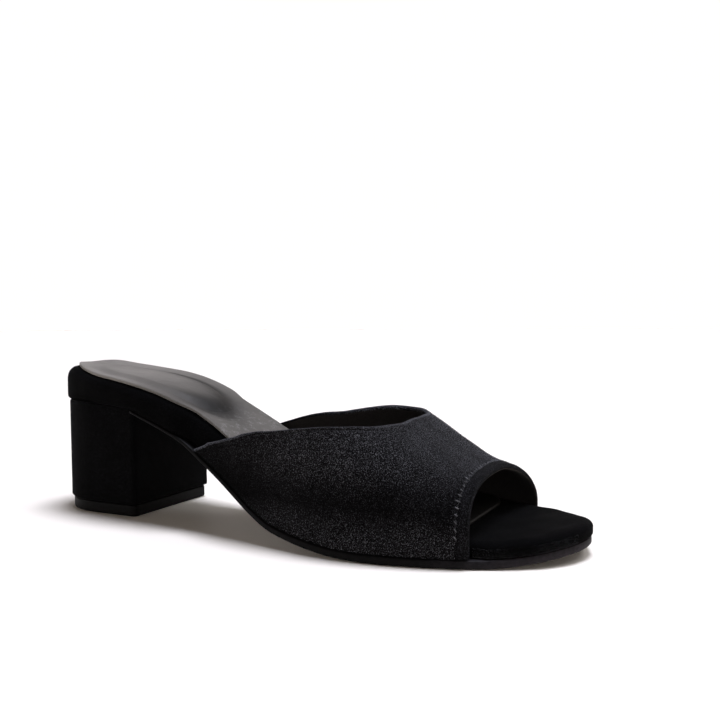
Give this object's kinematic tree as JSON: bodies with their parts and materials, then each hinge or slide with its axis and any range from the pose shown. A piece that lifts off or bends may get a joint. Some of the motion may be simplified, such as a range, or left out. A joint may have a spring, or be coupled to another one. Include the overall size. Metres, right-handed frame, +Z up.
{
  "type": "mule_shoe",
  "caption": "Open-toed velvet mule with a wide strap, a padded footbed and a covered block heel; right foot",
  "frame": {"origin": "on the floor, under the middle of the heel", "axes": "+X from the heel to the toe, +Y to the medial side (the wearer's left on this right shoe), +Z up"},
  "size_m": [0.2334, 0.0862, 0.0633],
  "materials": {
    "velvet": "black velvet, dull with a lighter nap",
    "sock_leather": "smooth grey, half gloss",
    "sole_rubber": "charcoal, matt"
  },
  "bodies": {
    "root": {"heel_top_piece": "sole_rubber", "heel_block": "velvet", "outsole": "sole_rubber", "insole": "velvet", "sock": "sock_leather", "upper": "velvet"}
  },
  "joints": []
}
